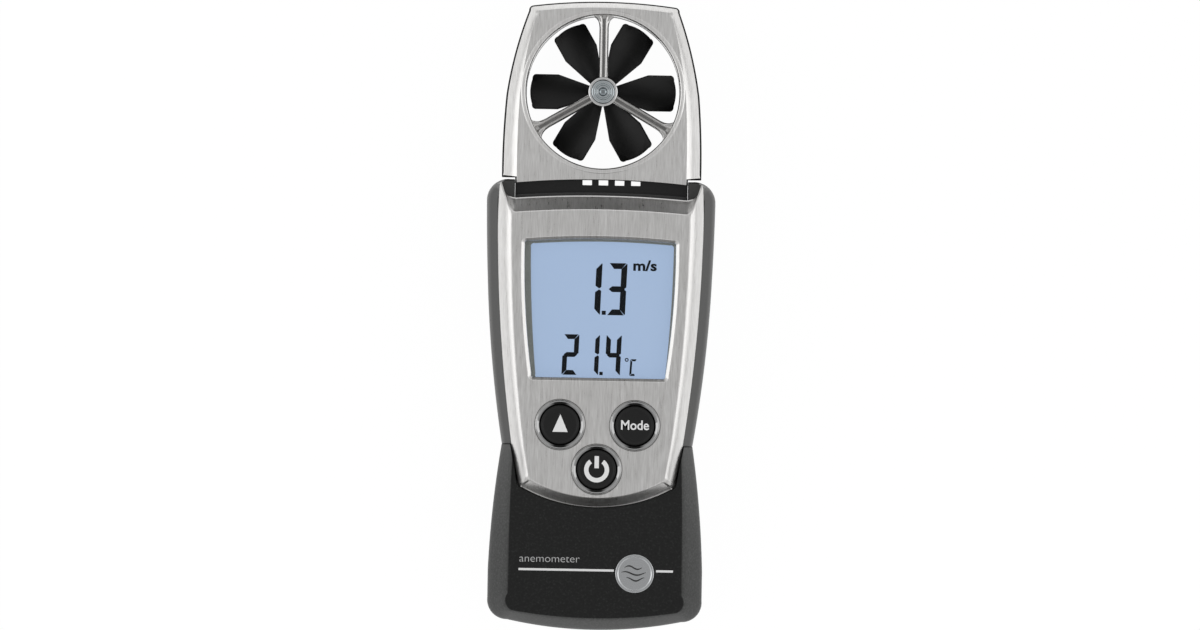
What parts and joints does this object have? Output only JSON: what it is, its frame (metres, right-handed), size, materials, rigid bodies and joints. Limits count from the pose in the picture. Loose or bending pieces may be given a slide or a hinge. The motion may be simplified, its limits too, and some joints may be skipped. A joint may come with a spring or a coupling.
{
  "type": "vane anemometer",
  "caption": "Pocket vane anemometer with a ducted impeller head, display, push keys, rear battery door and pull-off base cap.",
  "frame": {"origin": "middle of the footprint on the back plane, with the instrument lying on its back", "axes": "+X to the right seen from the front, +Y from the base towards the vane head, +Z out of the display face"},
  "size_m": [0.0472, 0.13, 0.0244],
  "materials": {
    "shell_grey": "fine satin grain",
    "brushed_face": "brushed along the length",
    "duct_metal": "satin plated",
    "window_clear": "clear acrylic",
    "lcd": "pale blue liquid crystal",
    "diffuser": "translucent white",
    "white_plastic": "moulded white",
    "rubber_strip": "striped silicone",
    "board": "solder mask",
    "flex_film": "polyimide film",
    "switch_black": "moulded",
    "chip_black": "moulded epoxy",
    "crystal_can": "drawn can",
    "chrome_trim": "polished",
    "key_black": "satin black",
    "tray_black": "moulded",
    "cell_jacket": "shrink sleeve",
    "spring_steel": "nickel plated",
    "screw_steel": "zinc plated",
    "bearing_brass": "turned",
    "neck_black": "moulded",
    "sensor_bead": "epoxy",
    "impeller_black": "matt moulded",
    "axle_steel": "ground",
    "cap_black": "fine speckled grain",
    "badge_metal": "satin disc"
  },
  "bodies": {
    "body": {"rear_shell": "shell_grey", "front_shell": "shell_grey", "faceplate": "brushed_face", "display_window": "window_clear", "lcd_glass": "lcd", "lcd_backlight": "diffuser", "lcd_frame": "white_plastic", "zebra_strips": "rubber_strip", "main_pcb": "board", "tact_switches": "switch_black", "controller_chip": "chip_black", "quartz_crystal": "crystal_can", "button_ring_up": "chrome_trim", "button_ring_mode": "chrome_trim", "button_ring_power": "chrome_trim", "battery_tray": "tray_black", "battery_1": "cell_jacket", "battery_2": "cell_jacket", "battery_springs": "spring_steel", "battery_contacts": "spring_steel", "housing_screws": "screw_steel", "head_rear_cover": "shell_grey", "head_front_cover": "brushed_face", "duct_front": "duct_metal", "duct_rear": "duct_metal", "bearing_front": "bearing_brass", "bearing_rear": "bearing_brass", "bearing_cap": "chrome_trim", "head_screws": "screw_steel", "neck_frame": "neck_black", "temperature_sensor": "sensor_bead", "speed_sensor": "sensor_bead", "sensor_flex": "flex_film"},
    "impeller": {"impeller": "impeller_black", "impeller_axle": "axle_steel"},
    "button_up": {"button_up": "key_black"},
    "button_mode": {"button_mode": "key_black"},
    "button_power": {"button_power": "key_black"},
    "battery_door": {"battery_door": "shell_grey"},
    "base_cap": {"base_cap": "cap_black", "cap_badge": "badge_metal"}
  },
  "joints": [
    {"name": "impeller_spin", "type": "hinge", "parent": "body", "child": "impeller", "pos_m": [0, 0.0462, 0.011], "axis": [0, 0, 1], "continuous": true},
    {"name": "button_up_press", "type": "slide", "parent": "body", "child": "button_up", "axis": [0, 0, -1], "range_m": [0, 0.0004], "stiffness_N_per_m": 800},
    {"name": "button_mode_press", "type": "slide", "parent": "body", "child": "button_mode", "axis": [0, 0, -1], "range_m": [0, 0.0004], "stiffness_N_per_m": 800},
    {"name": "button_power_press", "type": "slide", "parent": "body", "child": "button_power", "axis": [0, 0, -1], "range_m": [0, 0.0004], "stiffness_N_per_m": 800},
    {"name": "battery_door_slide", "type": "slide", "parent": "body", "child": "battery_door", "axis": [0, 1, 0], "range_m": [0, 0.05]},
    {"name": "base_cap_slide", "type": "slide", "parent": "body", "child": "base_cap", "axis": [0, -1, 0], "range_m": [0, 0.038]}
  ]
}
